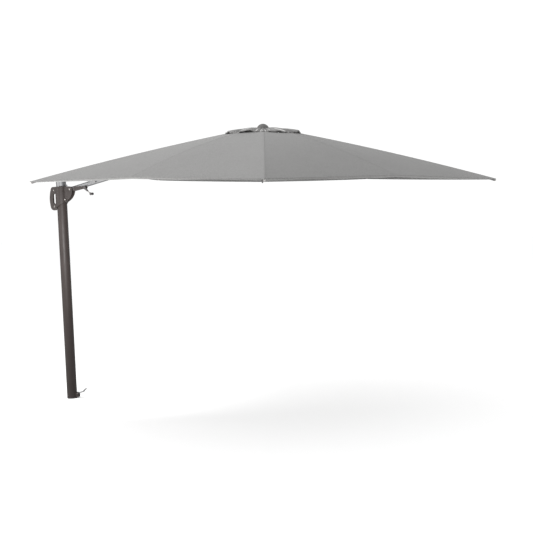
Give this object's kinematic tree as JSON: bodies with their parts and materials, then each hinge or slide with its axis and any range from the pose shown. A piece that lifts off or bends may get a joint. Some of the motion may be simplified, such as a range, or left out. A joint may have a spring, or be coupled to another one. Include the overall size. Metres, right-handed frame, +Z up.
{
  "type": "cantilever parasol",
  "caption": "Square grey cantilever parasol: swivelling bronze mast, sliding lift handle, silver boom with crank, and folding ribs under a vented cloth canopy.",
  "frame": {"origin": "centre of the underside of the mast's foot flange, where it bolts to a stand", "axes": "+Z up along the mast, +X from the mast towards the canopy hub"},
  "size_m": [4.3264, 3.9844, 2.6389],
  "materials": {
    "bronze_paint": "satin bronze-brown powder coat",
    "silver_tube": "satin silver anodised tube",
    "silver_cast": "satin cast aluminium",
    "steel": "plain steel",
    "bronze_plastic": "moulded bronze-brown plastic",
    "black_plastic": "moulded dark plastic",
    "pale_plastic": "moulded pale grey plastic",
    "grey_plastic": "moulded grey plastic",
    "rib_paint": "dark powder coat",
    "canopy_cloth": "woven grey polyester"
  },
  "bodies": {
    "base": {"base_spindle": "black_plastic", "swivel_bushes": "pale_plastic"},
    "mast": {"mast_tube": "bronze_paint", "mast_head": "silver_cast", "head_pin": "steel", "pedal_bracket": "bronze_paint", "pedal_pin": "steel"},
    "pedal": {"foot_pedal": "silver_cast"},
    "lift_strut": {"lift_strut": "silver_tube", "strut_pin": "steel"},
    "boom": {"boom_tube": "silver_tube", "boom_root": "bronze_plastic", "crank_housing": "bronze_plastic", "hub": "black_plastic", "hub_pins": "steel", "hub_post": "silver_tube", "vent_cap": "canopy_cloth", "finial": "grey_plastic", "canopy_panel_1": "canopy_cloth", "canopy_panel_2": "canopy_cloth", "canopy_panel_3": "canopy_cloth", "canopy_panel_4": "canopy_cloth", "canopy_panel_5": "canopy_cloth", "canopy_panel_6": "canopy_cloth", "canopy_panel_7": "canopy_cloth", "canopy_panel_8": "canopy_cloth"},
    "tilt_handle": {"handle_housing_front": "bronze_plastic", "handle_housing_rear": "bronze_plastic", "slide_bushes": "pale_plastic", "housing_rivets": "steel", "boom_pin": "steel"},
    "trigger": {"release_trigger": "bronze_plastic"},
    "crank": {"crank_hub": "black_plastic", "crank_rod": "steel"},
    "crank_knob": {"crank_knob": "black_plastic"},
    "runner": {"runner": "black_plastic"},
    "rib_1": {"rib_1": "rib_paint", "rib_tip_1": "pale_plastic"},
    "stay_1": {"stay_1": "rib_paint"},
    "rib_2": {"rib_2": "rib_paint", "rib_tip_2": "pale_plastic"},
    "stay_2": {"stay_2": "rib_paint"},
    "rib_3": {"rib_3": "rib_paint", "rib_tip_3": "pale_plastic"},
    "stay_3": {"stay_3": "rib_paint"},
    "rib_4": {"rib_4": "rib_paint", "rib_tip_4": "pale_plastic"},
    "stay_4": {"stay_4": "rib_paint"},
    "rib_5": {"rib_5": "rib_paint", "rib_tip_5": "pale_plastic"},
    "stay_5": {"stay_5": "rib_paint"},
    "rib_6": {"rib_6": "rib_paint", "rib_tip_6": "pale_plastic"},
    "stay_6": {"stay_6": "rib_paint"},
    "rib_7": {"rib_7": "rib_paint", "rib_tip_7": "pale_plastic"},
    "stay_7": {"stay_7": "rib_paint"},
    "rib_8": {"rib_8": "rib_paint", "rib_tip_8": "pale_plastic"},
    "stay_8": {"stay_8": "rib_paint"}
  },
  "joints": [
    {"name": "mast_swivel", "type": "hinge", "parent": "base", "child": "mast", "pos_m": [0, 0, 0], "axis": [0, 0, 1], "continuous": true},
    {"name": "pedal_press", "type": "hinge", "parent": "mast", "child": "pedal", "pos_m": [0.074, 0, 0.05], "axis": [0, 1, 0], "range_deg": [0, 12], "stiffness_Nm_per_rad": 6, "springref_deg": -17.19},
    {"name": "boom_lift", "type": "hinge", "parent": "mast", "child": "lift_strut", "pos_m": [0.118, 0, 2.24874], "axis": [0, 1, 0], "range_deg": [0, 55]},
    {"name": "boom_turn", "type": "hinge", "parent": "lift_strut", "child": "boom", "pos_m": [0.41112, 0, 2.18487], "axis": [0, 1, 0], "range_deg": [-110, 0]},
    {"name": "handle_turn", "type": "hinge", "parent": "boom", "child": "tilt_handle", "pos_m": [0.118, 0, 2.121], "axis": [0, 1, 0], "range_deg": [0, 55]},
    {"name": "trigger_squeeze", "type": "slide", "parent": "tilt_handle", "child": "trigger", "axis": [-1, 0, 0], "range_m": [0, 0.007], "stiffness_N_per_m": 900, "springref_m": -0.006},
    {"name": "canopy_fold", "type": "hinge", "parent": "boom", "child": "rib_1", "pos_m": [2.29312, 0.03253, 2.5662], "axis": [-0.3825, 0.9239, 0.0134], "range_deg": [0, 66]},
    {"name": "stay_turn_1", "type": "hinge", "parent": "rib_1", "child": "stay_1", "pos_m": [2.78615, 0.23904, 2.39924], "axis": [-0.3825, 0.9239, 0.0134], "range_deg": [-132, 0]},
    {"name": "rib_turn_2", "type": "hinge", "parent": "boom", "child": "rib_2", "pos_m": [2.24715, 0.07853, 2.5678], "axis": [-0.9233, 0.3827, 0.0322], "range_deg": [0, 66]},
    {"name": "stay_turn_2", "type": "hinge", "parent": "rib_2", "child": "stay_2", "pos_m": [2.4483, 0.57709, 2.41103], "axis": [-0.9233, 0.3827, 0.0322], "range_deg": [-132, 0]},
    {"name": "rib_turn_3", "type": "hinge", "parent": "boom", "child": "rib_3", "pos_m": [2.18213, 0.07853, 2.57007], "axis": [-0.9233, -0.3827, 0.0322], "range_deg": [0, 66]},
    {"name": "stay_turn_3", "type": "hinge", "parent": "rib_3", "child": "stay_3", "pos_m": [1.97052, 0.57709, 2.42772], "axis": [-0.9233, -0.3827, 0.0322], "range_deg": [-132, 0]},
    {"name": "rib_turn_4", "type": "hinge", "parent": "boom", "child": "rib_4", "pos_m": [2.13615, 0.03253, 2.57168], "axis": [-0.3825, -0.9239, 0.0134], "range_deg": [0, 66]},
    {"name": "stay_turn_4", "type": "hinge", "parent": "rib_4", "child": "stay_4", "pos_m": [1.63268, 0.23904, 2.43952], "axis": [-0.3825, -0.9239, 0.0134], "range_deg": [-132, 0]},
    {"name": "rib_turn_5", "type": "hinge", "parent": "boom", "child": "rib_5", "pos_m": [2.13615, -0.03253, 2.57168], "axis": [0.3825, -0.9239, -0.0134], "range_deg": [0, 66]},
    {"name": "stay_turn_5", "type": "hinge", "parent": "rib_5", "child": "stay_5", "pos_m": [1.63268, -0.23904, 2.43952], "axis": [0.3825, -0.9239, -0.0134], "range_deg": [-132, 0]},
    {"name": "rib_turn_6", "type": "hinge", "parent": "boom", "child": "rib_6", "pos_m": [2.18213, -0.07853, 2.57007], "axis": [0.9233, -0.3827, -0.0322], "range_deg": [0, 66]},
    {"name": "stay_turn_6", "type": "hinge", "parent": "rib_6", "child": "stay_6", "pos_m": [1.97052, -0.57709, 2.42772], "axis": [0.9233, -0.3827, -0.0322], "range_deg": [-132, 0]},
    {"name": "rib_turn_7", "type": "hinge", "parent": "boom", "child": "rib_7", "pos_m": [2.24715, -0.07853, 2.5678], "axis": [0.9233, 0.3827, -0.0322], "range_deg": [0, 66]},
    {"name": "stay_turn_7", "type": "hinge", "parent": "rib_7", "child": "stay_7", "pos_m": [2.4483, -0.57709, 2.41103], "axis": [0.9233, 0.3827, -0.0322], "range_deg": [-132, 0]},
    {"name": "rib_turn_8", "type": "hinge", "parent": "boom", "child": "rib_8", "pos_m": [2.29312, -0.03253, 2.5662], "axis": [0.3825, 0.9239, -0.0134], "range_deg": [0, 66]},
    {"name": "stay_turn_8", "type": "hinge", "parent": "rib_8", "child": "stay_8", "pos_m": [2.78615, -0.23904, 2.39924], "axis": [0.3825, 0.9239, -0.0134], "range_deg": [-132, 0]},
    {"name": "runner_turn", "type": "hinge", "parent": "stay_1", "child": "runner", "pos_m": [2.28267, 0.03253, 2.26707], "axis": [-0.3825, 0.9239, 0.0134], "range_deg": [0, 66]},
    {"name": "crank_turn", "type": "hinge", "parent": "boom", "child": "crank", "pos_m": [0.305, -0.04, 2.126], "axis": [0, 1, 0], "range_deg": [0, 1585]},
    {"name": "knob_spin", "type": "hinge", "parent": "crank", "child": "crank_knob", "pos_m": [0.403, -0.09, 2.065], "axis": [0, 1, 0], "continuous": true}
  ],
  "couplings": [
    {"joint": "boom_turn", "follows": "boom_lift", "ratio": -2},
    {"joint": "handle_turn", "follows": "boom_lift", "ratio": 1},
    {"joint": "stay_turn_1", "follows": "canopy_fold", "ratio": -2},
    {"joint": "rib_turn_2", "follows": "canopy_fold", "ratio": 1},
    {"joint": "stay_turn_2", "follows": "canopy_fold", "ratio": -2},
    {"joint": "rib_turn_3", "follows": "canopy_fold", "ratio": 1},
    {"joint": "stay_turn_3", "follows": "canopy_fold", "ratio": -2},
    {"joint": "rib_turn_4", "follows": "canopy_fold", "ratio": 1},
    {"joint": "stay_turn_4", "follows": "canopy_fold", "ratio": -2},
    {"joint": "rib_turn_5", "follows": "canopy_fold", "ratio": 1},
    {"joint": "stay_turn_5", "follows": "canopy_fold", "ratio": -2},
    {"joint": "rib_turn_6", "follows": "canopy_fold", "ratio": 1},
    {"joint": "stay_turn_6", "follows": "canopy_fold", "ratio": -2},
    {"joint": "rib_turn_7", "follows": "canopy_fold", "ratio": 1},
    {"joint": "stay_turn_7", "follows": "canopy_fold", "ratio": -2},
    {"joint": "rib_turn_8", "follows": "canopy_fold", "ratio": 1},
    {"joint": "stay_turn_8", "follows": "canopy_fold", "ratio": -2},
    {"joint": "runner_turn", "follows": "canopy_fold", "ratio": 1},
    {"joint": "crank_turn", "follows": "canopy_fold", "ratio": 24}
  ]
}
